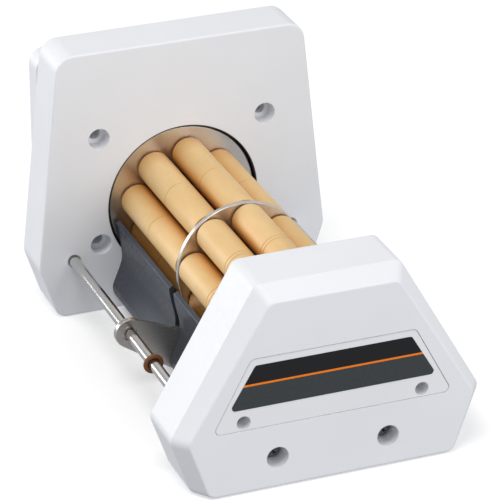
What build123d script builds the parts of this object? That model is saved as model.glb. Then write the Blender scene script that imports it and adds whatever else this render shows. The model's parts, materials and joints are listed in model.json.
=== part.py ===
"""Multi-channel peristaltic pump head: rotor with eight roller axles between two white end housings.

Frame: +X right, +Y towards the drive (rear), +Z up. The origin is at the bottom centre, so the head
stands on the flat undersides of its two end housings. Millimetres throughout.
"""
from build123d import *
import math
import os

os.makedirs("parts", exist_ok=True)

# ---- Layout along the rotor axis ----------------------------------------------------------------
CHANNEL_PITCH = 12.0
CHANNELS = 12
PLATE_GAP = CHANNEL_PITCH * CHANNELS
REAR_T = 25.0
ADAPTER_T = 12.0
FRONT_SIDE = 24.2
FRONT_BEVEL = 7.8
FRONT_T = FRONT_SIDE + FRONT_BEVEL
LENGTH = ADAPTER_T + REAR_T + PLATE_GAP + FRONT_T
Y_BACK = LENGTH / 2
Y_PLATE_BACK = Y_BACK - ADAPTER_T
Y_PLATE = Y_PLATE_BACK - REAR_T
Y_HOUSING = Y_PLATE - PLATE_GAP
Y_SHOULDER = Y_HOUSING - FRONT_SIDE
Y_NOSE = Y_HOUSING - FRONT_T
AXIS_Z = 49.5
FLOOR = -AXIS_Z

# ---- Rotor --------------------------------------------------------------------------------------
ROLLER_COUNT = 8
ROLLER_PITCH_R = 22.0
ROLLER_R = 7.5
ROLLER_LENGTH = {"rear": 69.9, "front": 68.7}
ROLLER_PHASE = -7.0
ROLLER_CHAMFER = 0.2
SLEEVE_GAP = 0.2
SPACER_RING = 2.2
AXLE_R = 2.5
AXLE_RUNNING = 0.06
WASHER_R = 4.6
WASHER_T = 0.4
WASHER_CLEARANCE = 0.3
MID_DISC_T = 2.3
MID_DISC_R = 29.5
Y_MID_BACK = Y_PLATE - 70.0
Y_MID_FRONT = Y_MID_BACK - MID_DISC_T
END_GAP = WASHER_T + 2 * WASHER_CLEARANCE
REAR_DISC_R = 34.8
REAR_DISC_T = 4.0
FRONT_DISC_R = 29.8
FRONT_DISC_T = 3.0
SHAFT_R = 7.5
SHAFT_NOSE_R = 6.0
TUBE_R = 12.0

# ---- Rear plate and adapter ---------------------------------------------------------------------
RECESS_R = 35.9
RECESS_DEPTH = 7.5
SEAL_T = 0.5
SEAL_INNER_R = 30.0
MOUNT_X = 39.5
MOUNT_HIGH = 35.75
MOUNT_LOW = -16.25
MOUNT_HOLE_R = 2.75
COUNTERBORE_R = 4.9
COUNTERBORE_DEPTH = 7.0
ROD_X = 52.6
ROD_Z = -22.2
ROD_R = 2.5
ROD_SOCKET = 8.0
COUPLING_R = 11.0
DRIVE_BORE_R = 5.0
DRIVE_BORE_DEPTH = 12.0

# ---- Front housing ------------------------------------------------------------------------------
WALL = 3.6
INNER_PLATE_T = 6.0
ACCESS_R = 3.0
SCREW_X = 24.6
SCREW_Z = -35.35
SCREW_HOLE_R = 4.8
SCREW_SEAT_DEPTH = 9.5
LABEL_POCKET = 0.9
LABEL_T = 0.7
LABEL_GAP = 0.22
FILM_T = 0.15

# ---- Tube bed and rod support -------------------------------------------------------------------
TROUGH_R = 31.2
LIP_Z = -5.6
LIP_DROP = 1.0
RIGHT_LIP_Z = -7.0
BED_FLOOR = -46.0
Y_BED_REAR = Y_PLATE - 69.6
Y_BED_FRONT = Y_PLATE - 75.2
SUPPORT_T = 2.5
EYELET_R = 6.6
EYELET_HOLE_R = 3.3
O_RING_R = 1.0
Y_O_RING = Y_PLATE - 104.5

# ---- Screws and bearings ------------------------------------------------------------------------
TIE_R = 2.0
TIE_HEAD_R = 3.6
TIE_HEAD_T = 3.4
TIE_REACH = 22.0
FRONT_SCREW_R = 2.0
FRONT_HEAD_R = 3.9
FRONT_HEAD_T = 2.8
SET_SCREW_R = 1.5
REAR_BEARING = {"inner_r": SHAFT_R, "outer_r": 16.0, "width": 9.0, "balls": 9}
FRONT_BEARING = {"inner_r": SHAFT_NOSE_R, "outer_r": 14.0, "width": 8.0, "balls": 8}
PILOT_R = 22.0
PILOT_DEPTH = 5.0

# ---- Positions along the rotor that follow from the parts ---------------------------------------
Y_REAR_DISC = Y_MID_BACK + 2 * END_GAP + ROLLER_LENGTH["rear"]
Y_FRONT_DISC = Y_MID_FRONT - 2 * END_GAP - ROLLER_LENGTH["front"]
Y_FRONT_DISC_END = Y_FRONT_DISC - FRONT_DISC_T
Y_ROLLER = {"rear": Y_REAR_DISC - END_GAP, "front": Y_MID_FRONT - END_GAP}
FRONT_RECESS = Y_HOUSING - Y_FRONT_DISC_END + 1.2
Y_FRONT_BEARING = Y_HOUSING - FRONT_RECESS - 1.0
Y_COUPLING = Y_PLATE + RECESS_DEPTH + REAR_BEARING["width"] + 1.0
Y_COUPLING_END = Y_BACK - 2.0

# Outlines, right half from top to bottom: x, z from the rotor axis, corner radius.
REAR_OUTLINE = [(58.0, 77.4, 8.5), (69.1, -24.0, 9.0), (60.6, FLOOR, 6.0)]
ADAPTER_OUTLINE = [(59.8, 68.5, 7.0), (59.8, -18.0, 9.0), (49.0, -42.0, 6.0)]
FRONT_OUTLINE = [(31.6, 41.7, 4.5), (68.8, -23.2, 5.0), (59.6, FLOOR, 5.0)]
NOSE_OUTLINE = [(28.0, 36.0, 4.5), (63.4, -22.2, 5.0), (54.2, FLOOR + 0.4, 5.0)]
LABEL_OUTLINE = [(36.2, 12.3, 3.0), (53.4, -20.0, 2.4)]
FILM_TOP_Z = 9.1
FILM_BOTTOM_Z = -10.2
FILM_TOP_X = 34.4
FILM_BOTTOM_X = 45.8
STRIPE_Z = 0.55
STRIPE_T = 0.9


def section_plane(y):
    """Plane across the rotor axis at y, with local x = X and local y = height above the axis."""
    return Plane(origin=(0, y, AXIS_Z), x_dir=(1, 0, 0), z_dir=(0, -1, 0))


def slab(face, y_rear, y_front):
    """Extrude a cross-section towards -Y, from y_rear to y_front."""
    return extrude(section_plane(y_rear) * face, amount=y_rear - y_front)


def outline(half, inset=0.0):
    """Mirror-symmetric rounded face from its right-hand corners, given top to bottom."""
    right = [(x, z) for x, z, _ in half]
    left = [(-x, z) for x, z, _ in reversed(half)]
    radii = [r for _, _, r in half]
    face = make_face(FilletPolyline(*right, *left, radius=radii + radii[::-1], close=True))
    if inset:
        face = offset(face, amount=-inset, kind=Kind.INTERSECTION)
    return face


def disc(radius, y_rear, y_front, x=0.0, z=0.0):
    """Solid cylinder along Y at (x, z) from the rotor axis."""
    return slab(Pos(x, z) * Circle(radius), y_rear, y_front)


def ring(outer, inner, y_rear, y_front, x=0.0, z=0.0):
    """Hollow cylinder along Y at (x, z) from the rotor axis."""
    return slab(Pos(x, z) * (Circle(outer) - Circle(inner)), y_rear, y_front)


def pair(make, x, z):
    """One piece at +x and its twin at -x."""
    return [make(x, z), make(-x, z)]


def cut_all(solid, tools):
    """Take every tool out of the solid."""
    for tool in tools:
        solid = solid - tool
    return solid


def save(name, *shapes):
    """Write one sub-part; more than one shape makes a node of separate solids."""
    solids = [solid for shape in shapes for solid in shape.solids()]
    node = solids[0] if len(solids) == 1 else Compound(children=solids)
    node.label = name
    export_step(node, f"parts/{name}.step")


def polar(radius, degrees):
    """Point at an angle round the rotor axis, counted from +X towards +Z."""
    angle = math.radians(degrees)
    return radius * math.cos(angle), radius * math.sin(angle)


def revolved_about_axis(profile):
    """Revolve a profile drawn as (radius, y) points about the rotor axis."""
    face = Plane(origin=(0, 0, AXIS_Z), x_dir=(1, 0, 0), z_dir=(0, 0, 1)) * profile
    return revolve(face, Axis((0, 0, AXIS_Z), (0, 1, 0)))


# ---- End housings -------------------------------------------------------------------------------
def rear_plate():
    """White rear housing: recess for the rotor disc, bearing seat, mounting and rod holes."""
    body = slab(outline(REAR_OUTLINE), Y_PLATE_BACK, Y_PLATE)
    body = fillet(body.faces().sort_by(Axis.Y)[0].edges(), 0.9)
    body = fillet(body.faces().sort_by(Axis.Y)[-1].edges(), 2.0)
    seat = Y_PLATE + RECESS_DEPTH
    tools = [
        disc(RECESS_R, seat, Y_PLATE),
        disc(REAR_BEARING["outer_r"], seat + REAR_BEARING["width"], seat),
        disc(COUPLING_R + 2.0, Y_PLATE_BACK, seat),
    ]
    for z in (MOUNT_HIGH, MOUNT_LOW):
        tools += pair(lambda x, h: disc(MOUNT_HOLE_R, Y_PLATE_BACK, Y_PLATE, x, h), MOUNT_X, z)
        tools += pair(
            lambda x, h: disc(COUNTERBORE_R, Y_PLATE + COUNTERBORE_DEPTH, Y_PLATE, x, h), MOUNT_X, z
        )
    tools += pair(lambda x, z: disc(ROD_R, Y_PLATE + ROD_SOCKET, Y_PLATE, x, z), ROD_X, ROD_Z)
    tools += pair(lambda x, z: disc(ROD_R + 0.6, Y_PLATE + 1.2, Y_PLATE, x, z), ROD_X, ROD_Z)
    tools += pair(lambda x, z: disc(TIE_R + 0.2, Y_PLATE_BACK, Y_PLATE, x, z), SCREW_X, SCREW_Z)
    tools += pair(
        lambda x, z: disc(TIE_HEAD_R + 0.4, Y_PLATE_BACK, Y_PLATE_BACK - TIE_HEAD_T - 1.0, x, z),
        SCREW_X,
        SCREW_Z,
    )
    return cut_all(body, tools)


def disc_seal():
    """Black cup-shaped seal that lines the recess round and behind the rotor disc."""
    seat = Y_PLATE + RECESS_DEPTH
    wall = ring(RECESS_R, RECESS_R - SEAL_T, seat, Y_PLATE + 0.3)
    return wall + ring(RECESS_R, SEAL_INNER_R, seat, seat - SEAL_T)


def rear_adapter():
    """Plate behind the rear housing that meets the drive, with a pilot recess for its hub."""
    body = slab(outline(ADAPTER_OUTLINE), Y_BACK, Y_PLATE_BACK)
    body = fillet(body.faces().sort_by(Axis.Y)[-1].edges(), 1.5)
    tools = [disc(PILOT_R, Y_BACK, Y_BACK - PILOT_DEPTH), disc(COUPLING_R + 2.0, Y_BACK, Y_PLATE_BACK)]
    for z in (MOUNT_HIGH, MOUNT_LOW):
        tools += pair(lambda x, h: disc(MOUNT_HOLE_R, Y_BACK, Y_PLATE_BACK, x, h), MOUNT_X, z)
    return cut_all(body, tools)


def front_housing():
    """White six-sided front housing: straight sides, wide bevel and hollow back."""
    sides = slab(outline(FRONT_OUTLINE), Y_HOUSING, Y_SHOULDER)
    bevel = loft(
        [section_plane(Y_SHOULDER) * outline(FRONT_OUTLINE), section_plane(Y_NOSE) * outline(NOSE_OUTLINE)],
        ruled=True,
    )
    body = sides + bevel
    rim = body.faces().sort_by(Axis.Y)[0].outer_wire().edges()
    body = fillet(rim, 1.0)
    cavity = slab(outline(FRONT_OUTLINE, WALL), Y_HOUSING, Y_SHOULDER + 2.0)
    posts = pair(lambda x, z: disc(7.5, Y_HOUSING - INNER_PLATE_T, Y_SHOULDER, x, z), SCREW_X, SCREW_Z)
    posts += pair(lambda x, z: disc(5.0, Y_HOUSING - INNER_PLATE_T, Y_SHOULDER, x, z), MOUNT_X, MOUNT_LOW)
    body = body - cut_all(cavity, posts)
    tools = [slab(outline(LABEL_OUTLINE), Y_NOSE + LABEL_POCKET, Y_NOSE)]
    tools += pair(lambda x, z: disc(ACCESS_R, Y_HOUSING, Y_NOSE, x, z), MOUNT_X, MOUNT_LOW)
    tools += pair(lambda x, z: disc(FRONT_SCREW_R + 0.2, Y_HOUSING, Y_NOSE, x, z), SCREW_X, SCREW_Z)
    tools += pair(
        lambda x, z: disc(SCREW_HOLE_R, Y_NOSE + SCREW_SEAT_DEPTH, Y_NOSE, x, z), SCREW_X, SCREW_Z
    )
    return cut_all(body, tools)


def front_inner_plate():
    """Plate that closes the back of the front housing and holds the front bearing and the rods."""
    body = slab(outline(FRONT_OUTLINE, WALL + 0.1), Y_HOUSING, Y_HOUSING - INNER_PLATE_T)
    boss_end = Y_FRONT_BEARING - FRONT_BEARING["width"]
    body = body + disc(FRONT_BEARING["outer_r"] + 4.0, Y_HOUSING, boss_end)
    tools = [
        disc(FRONT_DISC_R + 1.7, Y_HOUSING, Y_HOUSING - FRONT_RECESS),
        disc(FRONT_BEARING["outer_r"], Y_FRONT_BEARING, boss_end),
        disc(FRONT_BEARING["outer_r"] - 2.0, Y_HOUSING, Y_FRONT_BEARING),
    ]
    tools += pair(lambda x, z: disc(ROD_R, Y_HOUSING, Y_NOSE, x, z), ROD_X, ROD_Z)
    tools += pair(lambda x, z: disc(ACCESS_R, Y_HOUSING, Y_NOSE, x, z), MOUNT_X, MOUNT_LOW)
    tools += pair(lambda x, z: disc(FRONT_SCREW_R + 0.2, Y_HOUSING, Y_NOSE, x, z), SCREW_X, SCREW_Z)
    return cut_all(body, tools)


def label_plate():
    """Trapezoid inlay in the shallow pocket of the front housing."""
    body = slab(outline(LABEL_OUTLINE, LABEL_GAP), Y_NOSE + LABEL_POCKET, Y_NOSE + LABEL_POCKET - LABEL_T)
    return cut_all(body, pair(lambda x, z: disc(ACCESS_R, Y_HOUSING, Y_NOSE, x, z), MOUNT_X, MOUNT_LOW))


def film_edge(z):
    """Half-width of the label film at a height above the axis."""
    share = (FILM_TOP_Z - z) / (FILM_TOP_Z - FILM_BOTTOM_Z)
    return FILM_TOP_X + share * (FILM_BOTTOM_X - FILM_TOP_X)


def film_strip(z_top, z_bottom, top_r=0.05, bottom_r=0.05):
    """One colour field of the label film, between two heights."""
    corners = [(film_edge(z_top), z_top, top_r), (film_edge(z_bottom), z_bottom, bottom_r)]
    y_face = Y_NOSE + LABEL_POCKET - LABEL_T
    return slab(outline(corners), y_face, y_face - FILM_T)


# ---- Tube bed, rod support and rods -------------------------------------------------------------
def bed_section():
    """Cross-section of the painted trough: thin lips, waisted sides and a rounded foot."""
    lip_in = math.sqrt(TROUGH_R**2 - LIP_Z**2)
    lip_out = lip_in + 1.9
    waist = (30.0, -25.0)
    foot = (34.5, -37.5)
    toe = (30.5, BED_FLOOR)
    right = (
        Line((0, -TROUGH_R), (0, BED_FLOOR))
        + Line((0, BED_FLOOR), toe)
        + ThreePointArc(toe, (33.6, -42.6), foot)
        + Spline(foot, (31.4, -29.6), waist, (31.2, -15.0), (lip_out, LIP_Z - LIP_DROP))
        + Line((lip_out, LIP_Z - LIP_DROP), (lip_in, LIP_Z))
        + ThreePointArc((lip_in, LIP_Z), polar(TROUGH_R, -50.0), (0, -TROUGH_R))
    )
    half = make_face(Wire(right.edges()))
    return half + mirror(half, about=Plane.YZ)


def bed(y_rear, y_front):
    """One section of the tube bed with its two screw channels."""
    body = slab(bed_section(), y_rear, y_front)
    right_lip = Pos(TROUGH_R, RIGHT_LIP_Z + 2.0) * Rectangle(8.0, 4.0)
    body = body - slab(right_lip, y_rear, y_front)
    return cut_all(body, pair(lambda x, z: disc(TIE_R, y_rear, y_front, x, z), SCREW_X, SCREW_Z))


def rod_support():
    """Stainless sheet in the slot between the beds, with an eyelet round each rod."""
    saddle_z = -23.5
    sheet = make_face(
        Polyline(
            (ROD_X - 0.6, ROD_Z + EYELET_R),
            (32.0, saddle_z),
            (-32.0, saddle_z),
            (-ROD_X + 0.6, ROD_Z + EYELET_R),
            (-ROD_X - 3.4, ROD_Z - EYELET_R + 0.9),
            (-32.4, -43.6),
            (-28.0, BED_FLOOR),
            (28.0, BED_FLOOR),
            (32.4, -43.6),
            (ROD_X + 3.4, ROD_Z - EYELET_R + 0.9),
            close=True,
        )
    )
    for side in (1, -1):
        sheet = sheet + Pos(side * ROD_X, ROD_Z) * Circle(EYELET_R)
    sheet = sheet - Circle(TROUGH_R + 1.0)
    for side in (1, -1):
        sheet = sheet - Pos(side * ROD_X, ROD_Z) * Circle(EYELET_HOLE_R)
        sheet = sheet - Pos(side * SCREW_X, SCREW_Z) * Circle(TIE_R)
    return slab(sheet, Y_BED_FRONT + SUPPORT_T, Y_BED_FRONT)


def support_spacers():
    """Two rings that hold the sheet against the front bed."""
    y_front = Y_BED_FRONT + SUPPORT_T
    return pair(lambda x, z: ring(4.5, TIE_R, Y_BED_REAR, y_front, x, z), SCREW_X, SCREW_Z)


def rod_bushes():
    """Plastic bushes that fill the eyelets round the rods."""
    y_rear = Y_BED_FRONT + SUPPORT_T
    return pair(lambda x, z: ring(EYELET_HOLE_R, ROD_R, y_rear, Y_BED_FRONT + 0.8, x, z), ROD_X, ROD_Z)


def rod(side):
    """Plain stainless rod that the cassettes hook on."""
    body = disc(ROD_R, Y_PLATE + ROD_SOCKET, Y_HOUSING - INNER_PLATE_T, side * ROD_X, ROD_Z)
    return chamfer(body.edges().filter_by(GeomType.CIRCLE), 0.3)


def o_ring(side):
    """Rubber ring on a rod, which stops the cassettes from sliding."""
    centre = Plane(origin=(side * ROD_X, Y_O_RING, AXIS_Z + ROD_Z), z_dir=(0, 1, 0))
    return centre * Torus(ROD_R + O_RING_R, O_RING_R)


# ---- Screws -------------------------------------------------------------------------------------
def tie_screw(x, z):
    """Long socket screw from the back of the rear plate, through the rear bed, into the front bed."""
    seat = Y_PLATE_BACK - TIE_HEAD_T - 1.0
    shank = disc(TIE_R, seat, Y_BED_FRONT - TIE_REACH, x, z)
    head = disc(TIE_HEAD_R, seat + TIE_HEAD_T, seat, x, z)
    socket = slab(Pos(x, z) * RegularPolygon(1.7, 6), seat + TIE_HEAD_T, seat + 1.4)
    return shank + head - socket


def front_screw(x, z):
    """Pan-head cross-recess screw at the bottom of a deep hole in the front housing."""
    seat = Y_NOSE + SCREW_SEAT_DEPTH
    shank = disc(FRONT_SCREW_R, Y_HOUSING + 20.0, seat, x, z)
    head = disc(FRONT_HEAD_R, seat, seat - FRONT_HEAD_T, x, z)
    head = fillet(head.edges().sort_by(Axis.Y)[0], 1.2)
    cross = Pos(x, z) * (Rectangle(4.4, 0.9, rotation=38) + Rectangle(0.9, 4.4, rotation=38))
    return shank + head - slab(cross, seat - FRONT_HEAD_T + 1.5, seat - FRONT_HEAD_T)


# ---- Rotor parts --------------------------------------------------------------------------------
def bearing(spec, y_front):
    """Deep-groove ball bearing: outer ring, inner ring and balls."""
    pitch_r = (spec["inner_r"] + spec["outer_r"]) / 2
    ball_r = 0.27 * (spec["outer_r"] - spec["inner_r"])
    land = 0.45 * ball_r
    y_mid = y_front + spec["width"] / 2
    groove = revolved_about_axis(Pos(pitch_r, y_mid) * Circle(ball_r + 0.08))
    outer = ring(spec["outer_r"], pitch_r + land, y_front + spec["width"], y_front) - groove
    inner = ring(pitch_r - land, spec["inner_r"], y_front + spec["width"], y_front) - groove
    balls = []
    for index in range(spec["balls"]):
        x, z = polar(pitch_r, index * 360.0 / spec["balls"])
        balls.append(Pos(x, y_mid, AXIS_Z + z) * Sphere(ball_r))
    return outer, inner, balls


def rotor_disc(radius, y_rear, y_front, edge):
    """Rotor disc with its axle holes and a softened rim."""
    body = disc(radius, y_rear, y_front) - disc(SHAFT_R, y_rear, y_front)
    body = chamfer(body.edges().filter_by(GeomType.CIRCLE).group_by(SortBy.RADIUS)[-1], edge)
    for index in range(ROLLER_COUNT):
        body = body - disc(AXLE_R, y_rear, y_front, *polar(ROLLER_PITCH_R, roller_angle(index)))
    return body


def roller_angle(index):
    """Angle of one axle round the rotor, in degrees."""
    return ROLLER_PHASE + index * 360.0 / ROLLER_COUNT


def roller_half(index, half):
    """Plastic sleeves that turn on one axle, in the rear or the front half of the rotor."""
    x, z = polar(ROLLER_PITCH_R, roller_angle(index))
    rings = [SPACER_RING] if half == "front" else []
    sleeve_length = (ROLLER_LENGTH[half] - sum(rings) - (len(rings) + 1) * SLEEVE_GAP) / 2
    sleeves = []
    y_rear = Y_ROLLER[half]
    for length in [sleeve_length, *rings, sleeve_length]:
        sleeve = disc(ROLLER_R, y_rear, y_rear - length, x, z)
        sleeve = chamfer(sleeve.edges().filter_by(GeomType.CIRCLE), ROLLER_CHAMFER)
        sleeves.append(sleeve - disc(AXLE_R + AXLE_RUNNING, y_rear, y_rear - length, x, z))
        y_rear -= length + SLEEVE_GAP
    return sleeves


def roller_axles():
    """Eight plain axles, each pressed into all three discs."""
    axles = []
    for index in range(ROLLER_COUNT):
        x, z = polar(ROLLER_PITCH_R, roller_angle(index))
        axles.append(disc(AXLE_R, Y_REAR_DISC + REAR_DISC_T, Y_FRONT_DISC_END, x, z))
    return axles


def thrust_washers():
    """Thin washers between the roller ends and the three discs."""
    solids = []
    for gap_rear in (Y_REAR_DISC, Y_MID_BACK + END_GAP, Y_MID_FRONT, Y_FRONT_DISC + END_GAP):
        y_rear = gap_rear - (END_GAP - WASHER_T) / 2
        for index in range(ROLLER_COUNT):
            x, z = polar(ROLLER_PITCH_R, roller_angle(index))
            solids.append(ring(WASHER_R, AXLE_R, y_rear, y_rear - WASHER_T, x, z))
    return solids


def shaft():
    """Rotor shaft, stepped down for the front bearing and grooved for its circlip."""
    y_step = Y_FRONT_BEARING
    y_end = y_step - FRONT_BEARING["width"] - 4.0
    body = disc(SHAFT_R, Y_COUPLING + 5.0, y_step) + disc(SHAFT_NOSE_R, y_step, y_end)
    y_clip = y_step - FRONT_BEARING["width"]
    return body - ring(SHAFT_NOSE_R, SHAFT_NOSE_R - 0.6, y_clip, y_clip - 1.0)


def circlip():
    """Open retaining ring in the shaft groove in front of the front bearing."""
    y_clip = Y_FRONT_BEARING - FRONT_BEARING["width"]
    body = ring(SHAFT_NOSE_R + 1.8, SHAFT_NOSE_R - 0.6, y_clip, y_clip - 1.0)
    return body - slab(Pos(0, -SHAFT_NOSE_R) * Rectangle(5.0, 6.0), y_clip, y_clip - 1.0)


def coupling():
    """Steel hub on the rear end of the shaft, with a bore for the drive's output shaft."""
    body = disc(COUPLING_R, Y_COUPLING_END, Y_COUPLING)
    body = chamfer(body.edges().sort_by(Axis.Y)[-1], 1.0)
    body = body - disc(SHAFT_R, Y_COUPLING + 5.0, Y_COUPLING)
    body = body - disc(DRIVE_BORE_R, Y_COUPLING_END, Y_COUPLING_END - DRIVE_BORE_DEPTH)
    return body - set_screw(SHAFT_R - 2.0, COUPLING_R + 1.0)


def set_screw(x_inner=SHAFT_R, x_outer=COUPLING_R - 0.4):
    """Headless screw that clamps the coupling on the shaft, or with wider limits its hole."""
    base = Plane(origin=(x_inner, Y_COUPLING + 2.5, AXIS_Z), z_dir=(1, 0, 0))
    return extrude(base * Circle(SET_SCREW_R), amount=x_outer - x_inner)


# ---- Write the sub-parts ------------------------------------------------------------------------
save("rear_plate", rear_plate())
save("rear_adapter", rear_adapter())
save("disc_seal", disc_seal())
save("front_housing", front_housing())
save("front_inner_plate", front_inner_plate())
save("label_plate", label_plate())
save("label_upper_field", film_strip(FILM_TOP_Z, STRIPE_Z + STRIPE_T / 2, top_r=1.6))
save("label_stripe", film_strip(STRIPE_Z + STRIPE_T / 2, STRIPE_Z - STRIPE_T / 2))
save("label_lower_field", film_strip(STRIPE_Z - STRIPE_T / 2, FILM_BOTTOM_Z, bottom_r=1.6))
save("bed_rear", bed(Y_PLATE, Y_BED_REAR))
save("bed_front", bed(Y_BED_FRONT, Y_HOUSING))
save("rod_support", rod_support())
save("support_spacers", *support_spacers())
save("rod_bushes", *rod_bushes())
save("rod_left", rod(-1))
save("rod_right", rod(1))
save("o_ring_left", o_ring(-1))
save("o_ring_right", o_ring(1))
save("tie_screws", *pair(tie_screw, SCREW_X, SCREW_Z))
save("front_screws", *pair(front_screw, SCREW_X, SCREW_Z))

bearings = {
    "rear": bearing(REAR_BEARING, Y_PLATE + RECESS_DEPTH),
    "front": bearing(FRONT_BEARING, Y_FRONT_BEARING - FRONT_BEARING["width"]),
}
for place, (outer_ring, inner_ring, balls) in bearings.items():
    save(f"{place}_bearing_outer_ring", outer_ring)
    save(f"{place}_bearing_inner_ring", inner_ring)
    save(f"{place}_bearing_balls", *balls)

save("shaft", shaft())
save("shaft_circlip", circlip())
save("drive_coupling", coupling())
save("coupling_set_screw", set_screw())
save("rear_disc", rotor_disc(REAR_DISC_R, Y_REAR_DISC + REAR_DISC_T, Y_REAR_DISC, 0.6))
save("middle_disc", rotor_disc(MID_DISC_R, Y_MID_BACK, Y_MID_FRONT, 0.2))
save("front_disc", rotor_disc(FRONT_DISC_R, Y_FRONT_DISC, Y_FRONT_DISC_END, 0.4))
save("rear_spacer_tube", ring(TUBE_R, SHAFT_R, Y_REAR_DISC, Y_MID_BACK))
save("front_spacer_tube", ring(TUBE_R, SHAFT_R, Y_MID_FRONT, Y_FRONT_DISC))
save("roller_axles", *roller_axles())
save("thrust_washers", *thrust_washers())
for half_name in ("rear", "front"):
    for roller in range(ROLLER_COUNT):
        save(f"roller_{half_name}_{roller + 1}", *roller_half(roller, half_name))
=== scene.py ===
"""Looks for a multi-channel peristaltic pump head: materials, floor, light and camera.

Metres throughout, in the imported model's frame: +X right, +Y towards the drive, +Z up.
"""

import json
import math

import bpy
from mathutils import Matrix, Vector


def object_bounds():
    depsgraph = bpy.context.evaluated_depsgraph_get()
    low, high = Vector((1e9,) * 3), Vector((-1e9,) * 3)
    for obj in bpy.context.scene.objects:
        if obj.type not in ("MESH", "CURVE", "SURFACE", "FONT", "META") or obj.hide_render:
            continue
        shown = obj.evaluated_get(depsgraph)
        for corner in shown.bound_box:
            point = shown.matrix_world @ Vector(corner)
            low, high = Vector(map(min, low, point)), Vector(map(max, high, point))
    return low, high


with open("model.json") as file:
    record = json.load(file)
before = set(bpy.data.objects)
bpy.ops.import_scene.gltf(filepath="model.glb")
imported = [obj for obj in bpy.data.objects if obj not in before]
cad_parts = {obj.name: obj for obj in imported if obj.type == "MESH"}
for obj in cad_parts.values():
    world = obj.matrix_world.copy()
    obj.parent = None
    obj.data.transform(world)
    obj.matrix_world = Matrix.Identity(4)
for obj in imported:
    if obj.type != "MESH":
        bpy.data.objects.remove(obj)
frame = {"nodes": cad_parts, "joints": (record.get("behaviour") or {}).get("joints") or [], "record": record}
cad_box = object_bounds()
nodes = frame["nodes"]
axis_point = next(j["pos_m"] for j in frame["joints"] if j["name"] == "rotor_spin")


# ---- Material building blocks -------------------------------------------------------------------
EDGE_SAMPLES = 4
PAINTED_SHADE_SAMPLES = 6


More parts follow.
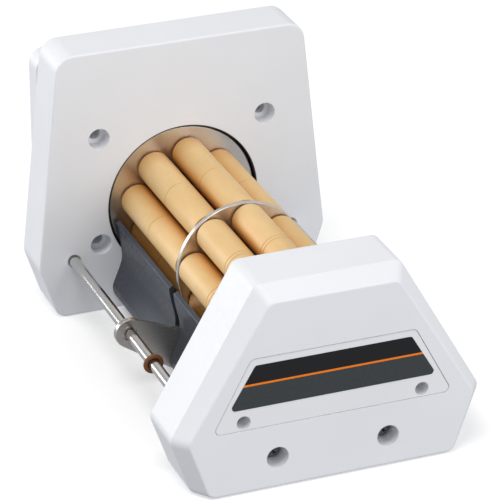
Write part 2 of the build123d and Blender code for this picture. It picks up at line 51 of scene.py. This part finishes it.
class Finish:
    """A principled material, with short-hands that wire procedural detail into it."""

    def __init__(self, name, color, roughness, metallic=0.0, **sockets):
        self.material = bpy.data.materials.new(name)
        self.material.use_nodes = True
        self.tree = self.material.node_tree
        self.shader = self.tree.nodes["Principled BSDF"]
        self.shader.inputs["Base Color"].default_value = (*color, 1.0)
        self.shader.inputs["Roughness"].default_value = roughness
        self.shader.inputs["Metallic"].default_value = metallic
        for socket, value in sockets.items():
            self.shader.inputs[socket.replace("_", " ")].default_value = value
        self.place = self.add("ShaderNodeTexCoord").outputs["Object"]
        self.normal = None

    def add(self, kind, **settings):
        """A new node with its properties set."""
        node = self.tree.nodes.new(kind)
        for name, value in settings.items():
            setattr(node, name, value)
        return node

    def feed(self, node, **inputs):
        """Link or set inputs, named with underscores for spaces."""
        for name, value in inputs.items():
            socket = node.inputs[name.replace("_", " ")]
            if isinstance(value, bpy.types.NodeSocket):
                self.tree.links.new(value, socket)
            else:
                socket.default_value = value
        return node

    def stretched(self, scale, centre=(0.0, 0.0, 0.0)):
        """Object coordinates moved to a centre and then scaled."""
        moved = self.add("ShaderNodeVectorMath", operation="SUBTRACT")
        self.tree.links.new(self.place, moved.inputs[0])
        moved.inputs[1].default_value = centre
        sized = self.add("ShaderNodeVectorMath", operation="MULTIPLY")
        self.tree.links.new(moved.outputs[0], sized.inputs[0])
        sized.inputs[1].default_value = scale
        return sized.outputs[0]

    def noise(self, scale, detail=3.0, vector=None, roughness=0.5):
        """Noise value between 0 and 1; scale is in features per metre."""
        node = self.add("ShaderNodeTexNoise")
        self.feed(node, Vector=vector or self.place, Scale=scale)
        self.feed(node, Detail=detail, Roughness=roughness)
        return node.outputs["Fac"]

    def radius(self, centre):
        """A vector that changes only with the distance from an axis along Y."""
        flat = self.add("ShaderNodeVectorMath", operation="LENGTH")
        self.tree.links.new(self.stretched((1.0, 0.0, 1.0), centre), flat.inputs[0])
        made = self.add("ShaderNodeCombineXYZ")
        self.tree.links.new(flat.outputs["Value"], made.inputs["X"])
        return made.outputs["Vector"]

    def span(self, value, low, high, from_low=0.3, from_high=0.7):
        """A value between from_low and from_high mapped to low and high."""
        node = self.add("ShaderNodeMapRange")
        self.feed(node, Value=value, From_Min=from_low, From_Max=from_high, To_Min=low, To_Max=high)
        return node.outputs["Result"]

    def mix(self, factor, first, second):
        """Two colours, or a linked colour and a fixed one, mixed by a factor."""
        node = self.add("ShaderNodeMix", data_type="RGBA")
        self.tree.links.new(factor, node.inputs["Factor"])
        colors = [socket for socket in node.inputs if socket.type == "RGBA"]
        for socket, value in zip(colors, (first, second)):
            if isinstance(value, bpy.types.NodeSocket):
                self.tree.links.new(value, socket)
            else:
                socket.default_value = (*value, 1.0)
        return next(socket for socket in node.outputs if socket.type == "RGBA")

    def product(self, first, second):
        """Two linked values multiplied."""
        node = self.add("ShaderNodeMath", operation="MULTIPLY")
        for value, socket in zip((first, second), node.inputs):
            self.tree.links.new(value, socket)
        return node.outputs[0]

    def color(self, value):
        """Drive the base colour."""
        self.tree.links.new(value, self.shader.inputs["Base Color"])
        return self

    def rough(self, value):
        """Drive the roughness."""
        self.tree.links.new(value, self.shader.inputs["Roughness"])
        return self

    def soft_edges(self, radius):
        """Rounds sharp edges in the shading only."""
        node = self.add("ShaderNodeBevel", samples=EDGE_SAMPLES)
        node.inputs["Radius"].default_value = radius
        self.normal = node.outputs["Normal"]
        return self

    def painted_shade_mask(self, distance, most):
        """Up to `most` where other surfaces are close, and 0 in the open: the mask for painted shade in
        hollows and gaps.
        """
        shade = self.add("ShaderNodeAmbientOcclusion", samples=PAINTED_SHADE_SAMPLES)
        shade.inputs["Distance"].default_value = distance
        return self.span(shade.outputs["AO"], most, 0.0, 0.15, 0.95)

    def edge_mask(self, radius):
        """1 on sharp edges and 0 on flat faces."""
        rounded = self.add("ShaderNodeBevel", samples=EDGE_SAMPLES)
        rounded.inputs["Radius"].default_value = radius
        agree = self.add("ShaderNodeVectorMath", operation="DOT_PRODUCT")
        self.tree.links.new(rounded.outputs["Normal"], agree.inputs[0])
        self.tree.links.new(self.add("ShaderNodeNewGeometry").outputs["Normal"], agree.inputs[1])
        return self.span(agree.outputs["Value"], 1.0, 0.0, 0.8, 0.99)

    def bump(self, height, depth, strength=1.0):
        """Relief of a depth in metres, on top of any relief made before."""
        node = self.add("ShaderNodeBump")
        self.feed(node, Height=height, Distance=depth, Strength=strength)
        if self.normal is not None:
            self.tree.links.new(self.normal, node.inputs["Normal"])
        self.normal = node.outputs["Normal"]
        return self

    def done(self):
        """Connect the relief and hand over the material."""
        if self.normal is not None:
            self.tree.links.new(self.normal, self.shader.inputs["Normal"])
        return self.material


def dimmed(color, share):
    """The same colour, darker."""
    return tuple(part * share for part in color)


# ---- Finishes -----------------------------------------------------------------------------------
def moulded_plastic(name, color, edge=0.0005):
    """Fine spark-eroded moulding with slightly uneven gloss."""
    made = Finish(name, color, 0.42, Specular_IOR_Level=0.4)
    made.color(made.mix(made.span(made.noise(28.0), 0.0, 1.0), color, dimmed(color, 0.965)))
    made.rough(made.span(made.noise(420.0, 4.0), 0.36, 0.5))
    made.soft_edges(edge)
    return made.bump(made.noise(3200.0, 2.0), 0.00004, 0.35).done()


def printed_film(name, color):
    """Screen-printed polyester film: satin, with a faint grain."""
    made = Finish(name, color, 0.38, Specular_IOR_Level=0.3)
    made.color(made.mix(made.span(made.noise(900.0), 0.0, 1.0), color, dimmed(color, 0.86)))
    made.rough(made.span(made.noise(2600.0, 2.0), 0.34, 0.46))
    return made.bump(made.noise(5200.0, 2.0), 0.00002, 0.3).done()


def roller_polymer(name):
    """Machined tan polymer: faint turning rings, cloudy tone, a few darker flecks, and orange-brown painted
    shade in the crevices between rollers.
    """
    light, dark, fleck = (0.83, 0.575, 0.275), (0.75, 0.49, 0.2), (0.53, 0.31, 0.11)
    painted_crevice_shade = (0.62, 0.25, 0.035)
    made = Finish(
        name,
        light,
        0.46,
        Specular_IOR_Level=0.5,
        Subsurface_Weight=0.12,
        Subsurface_Scale=0.0015,
        Subsurface_Radius=(1.0, 0.5, 0.2),
    )
    clouds = made.noise(95.0, 4.0, made.stretched((1.0, 0.35, 1.0)))
    cloud = made.mix(made.span(clouds, 0.0, 1.0), light, dark)
    specks = made.span(made.noise(1500.0, 2.0), 0.0, 0.55, 0.66, 0.74)
    flecked = made.mix(specks, cloud, fleck)
    # Painted shade: an orange-brown colour in the crevices between rollers, where surfaces are close.
    made.color(made.mix(made.painted_shade_mask(0.014, 0.9), flecked, painted_crevice_shade))
    rings = made.noise(1.0, 3.0, made.stretched((30.0, 3600.0, 30.0)))
    made.rough(made.span(rings, 0.4, 0.54))
    made.soft_edges(0.00025)
    made.bump(rings, 0.00002, 0.35)
    return made.bump(made.noise(2400.0, 3.0), 0.00003, 0.3).done()


def painted_metal(name, color):
    """Satin powder coat, with a painted highlight along its edges and near-black painted shade in narrow
    gaps.
    """
    made = Finish(name, color, 0.34, Specular_IOR_Level=0.55)
    tone = made.mix(made.span(made.noise(45.0, 4.0), 0.0, 1.0), color, dimmed(color, 0.8))
    # Painted highlight: the colour is made lighter along edges.
    painted_edge_highlight = made.mix(made.edge_mask(0.0005), tone, dimmed(color, 3.2))
    # Painted shade: the colour goes near black where surfaces are close, as in the slot and beside the
    # rollers.
    made.color(made.mix(made.painted_shade_mask(0.003, 0.9), painted_edge_highlight, dimmed(color, 0.08)))
    made.rough(made.span(made.noise(500.0, 3.0), 0.28, 0.42))
    made.soft_edges(0.0006)
    return made.bump(made.noise(3800.0, 2.0), 0.00002, 0.15).done()


def brushed_steel(name, color, stretch, low, high, edge=0.0003, painted_edge_highlight=0.0):
    """Steel with fine scratches; stretch is the number of features per metre along each axis.

    A painted highlight brightens the colour along the edges when its width in metres is given.
    """
    made = Finish(name, color, low, 1.0)
    lines = made.noise(1.0, 4.0, made.stretched(stretch), 0.65)
    tone = made.mix(made.span(lines, 0.0, 1.0), color, dimmed(color, 0.82))
    # Painted highlight: edge colour brightened towards near white.
    if painted_edge_highlight:
        tone = made.mix(made.edge_mask(painted_edge_highlight), tone, (0.93, 0.92, 0.9))
    made.color(tone)
    smudge = made.noise(55.0, 4.0)
    made.rough(made.product(made.span(lines, 0.85, 1.15), made.span(smudge, low, high)))
    made.soft_edges(edge)
    return made.bump(lines, 0.000004, 0.2).done()


def turned_steel(name, color):
    """Satin disc: fine blasted grain over faint turning rings, with a rougher rim whose colour is darkened
    as painted shade to hold back a lamp's reflection.
    """
    made = Finish(name, color, 0.3, 1.0)
    rings = made.noise(2200.0, 3.0, made.radius(axis_point), 0.6)
    grain = made.noise(2100.0, 3.0, roughness=0.7)
    tone = made.mix(made.span(grain, 0.0, 1.0), color, dimmed(color, 0.74))
    rim = made.edge_mask(0.0004)
    # Painted shade: the rim's colour is darkened to tone down a lamp's reflection there.
    made.color(made.mix(rim, tone, (0.6, 0.59, 0.58)))
    sheen = made.span(made.noise(260.0, 3.0), 0.3, 0.4)
    made.rough(made.product(sheen, made.span(rim, 1.0, 1.7, 0.0, 1.0)))
    made.soft_edges(0.0003)
    made.bump(rings, 0.00001, 0.25)
    return made.bump(grain, 0.00002, 0.3).done()


def rubber(name, color):
    """Smooth moulded rubber with a dusty bloom."""
    made = Finish(name, color, 0.5, Specular_IOR_Level=0.45)
    made.color(made.mix(made.span(made.noise(400.0, 4.0), 0.0, 1.0), color, dimmed(color, 0.72)))
    made.rough(made.span(made.noise(900.0, 3.0), 0.42, 0.62))
    return made.bump(made.noise(2600.0, 2.0), 0.00003, 0.4).done()


# Scratch directions, as features per metre along each axis.
TURNED_RINGS = (30.0, 3200.0, 30.0)
DRAWN_LINES = (1500.0, 18.0, 1500.0)
BRUSHED_LEVEL = (70.0, 70.0, 2600.0)
POLISHED_ALL_WAYS = (1200.0, 1200.0, 1200.0)
PLATED_ALL_WAYS = (900.0, 900.0, 900.0)
WHITE = (0.835, 0.85, 0.88)
finishes = {
    "white_plastic": moulded_plastic("white_plastic", WHITE),
    "label_base": moulded_plastic("label_base", (0.84, 0.85, 0.875), 0.0002),
    "label_black": printed_film("label_black", (0.009, 0.009, 0.0105)),
    "label_orange": printed_film("label_orange", (1.0, 0.235, 0.003)),
    "label_grey": printed_film("label_grey", (0.044, 0.052, 0.056)),
    "bed_paint": painted_metal("bed_paint", (0.038, 0.047, 0.064)),
    "sheet_steel": brushed_steel(
        "sheet_steel", (0.56, 0.525, 0.485), BRUSHED_LEVEL, 0.26, 0.34, painted_edge_highlight=0.0006
    ),
    "rod_steel": brushed_steel("rod_steel", (0.7, 0.69, 0.68), DRAWN_LINES, 0.1, 0.17),
    "disc_steel": turned_steel("disc_steel", (0.8, 0.775, 0.745)),
    "shaft_steel": brushed_steel("shaft_steel", (0.62, 0.61, 0.6), TURNED_RINGS, 0.2, 0.34),
    "bearing_steel": brushed_steel(
        "bearing_steel", (0.72, 0.72, 0.72), POLISHED_ALL_WAYS, 0.12, 0.22
    ),
    "screw_steel": brushed_steel("screw_steel", (0.16, 0.16, 0.165), PLATED_ALL_WAYS, 0.3, 0.45),
    "brown_rubber": rubber("brown_rubber", (0.2, 0.078, 0.022)),
    "black_plastic": moulded_plastic("black_plastic", (0.025, 0.025, 0.027), 0.0002),
    "white_nylon": moulded_plastic("white_nylon", (0.74, 0.7, 0.6), 0.0002),
    "roller_plastic": roller_polymer("roller_plastic"),
}

for part in frame["record"]["subparts"]:
    for slot in nodes[part["node"]].material_slots:
        slot.material = finishes[part["material_slot"]]


# ---- Floor --------------------------------------------------------------------------------------
FLOOR_RADIUS = 4.0
FLOOR_GAP = 0.0002
FLOOR_CORNERS = 96


def make_floor():
    """A round pale sheet that the head stands on, just under its feet."""
    turns = [2 * math.pi * k / FLOOR_CORNERS for k in range(FLOOR_CORNERS)]
    rim = [(FLOOR_RADIUS * math.cos(a), FLOOR_RADIUS * math.sin(a), 0.0) for a in turns]
    mesh = bpy.data.meshes.new("floor")
    mesh.from_pydata(rim, [], [list(range(FLOOR_CORNERS))])
    floor = bpy.data.objects.new("floor", mesh)
    floor.location.z = cad_box[0].z - FLOOR_GAP
    bpy.context.scene.collection.objects.link(floor)
    light, dark = (0.86, 0.86, 0.86), (0.84, 0.84, 0.84)
    made = Finish("floor_paper", dark, 0.9, Specular_IOR_Level=0.1)
    made.shader.inputs["Emission Color"].default_value = (1.0, 1.0, 1.0, 1.0)
    made.shader.inputs["Emission Strength"].default_value = 0.3
    made.color(made.mix(made.span(made.noise(6.0), 0.0, 1.0), light, dark))
    mesh.materials.append(made.done())
    floor.visible_diffuse = False
    floor.visible_glossy = False


make_floor()


# ---- Light --------------------------------------------------------------------------------------
def make_dome(below, horizon, above):
    """Plain studio surround, given as a colour under, at and over the horizon."""
    world = bpy.data.worlds.new("studio")
    bpy.context.scene.world = world
    world.use_nodes = True
    tree = world.node_tree
    split = tree.nodes.new("ShaderNodeSeparateXYZ")
    tree.links.new(tree.nodes.new("ShaderNodeTexCoord").outputs["Generated"], split.inputs[0])
    place = tree.nodes.new("ShaderNodeMapRange")
    place.inputs["From Min"].default_value = -1.0
    tree.links.new(split.outputs["Z"], place.inputs["Value"])
    ramp = tree.nodes.new("ShaderNodeValToRGB")
    ramp.color_ramp.elements[0].color = (*below, 1.0)
    ramp.color_ramp.elements[1].color = (*above, 1.0)
    middle = ramp.color_ramp.elements.new(0.5)
    middle.color = (*horizon, 1.0)
    tree.links.new(place.outputs["Result"], ramp.inputs["Fac"])
    background = tree.nodes["Background"]
    tree.links.new(ramp.outputs["Color"], background.inputs["Color"])


def softbox(name, place, size, power):
    """A rectangular area light that faces the head."""
    lamp = bpy.data.lights.new(name, "AREA")
    lamp.shape = "RECTANGLE"
    lamp.size, lamp.size_y = size
    lamp.energy = power
    holder = bpy.data.objects.new(name, lamp)
    holder.location = place
    holder.rotation_mode = "QUATERNION"
    holder.rotation_quaternion = (HEAD_CENTRE - Vector(place)).to_track_quat("-Z", "Y")
    bpy.context.scene.collection.objects.link(holder)


HEAD_CENTRE = Vector((0.0, 0.0, 0.06))
make_dome(below=(0.32, 0.33, 0.36), horizon=(0.62, 0.625, 0.64), above=(0.48, 0.48, 0.48))
softbox("key_above", place=(-0.42, -0.42, 1.36), size=(0.7, 0.7), power=7.8)
softbox("side_low", place=(-1.2, 1.0, 0.35), size=(0.9, 0.5), power=9.5)
softbox("front_right", place=(0.75, -1.65, 0.75), size=(0.9, 0.9), power=10.5)


# ---- Camera -------------------------------------------------------------------------------------
SENSOR_WIDTH_MM = 36.0
CLIP_END = 50.0


def make_camera(place, forward, lens_mm):
    """A level camera at a place, looking along a direction."""
    lens_data = bpy.data.cameras.new("camera")
    lens_data.lens = lens_mm
    lens_data.sensor_width = SENSOR_WIDTH_MM
    lens_data.clip_end = CLIP_END
    camera = bpy.data.objects.new("camera", lens_data)
    camera.location = place
    camera.rotation_mode = "QUATERNION"
    camera.rotation_quaternion = Vector(forward).to_track_quat("-Z", "Y")
    bpy.context.scene.collection.objects.link(camera)
    bpy.context.scene.camera = camera


make_camera(
    place=(-0.4503, -1.1572, 0.66955), forward=(0.32822, 0.83408, -0.44337), lens_mm=230.0
)
bpy.context.scene.view_settings.view_transform = "Standard"
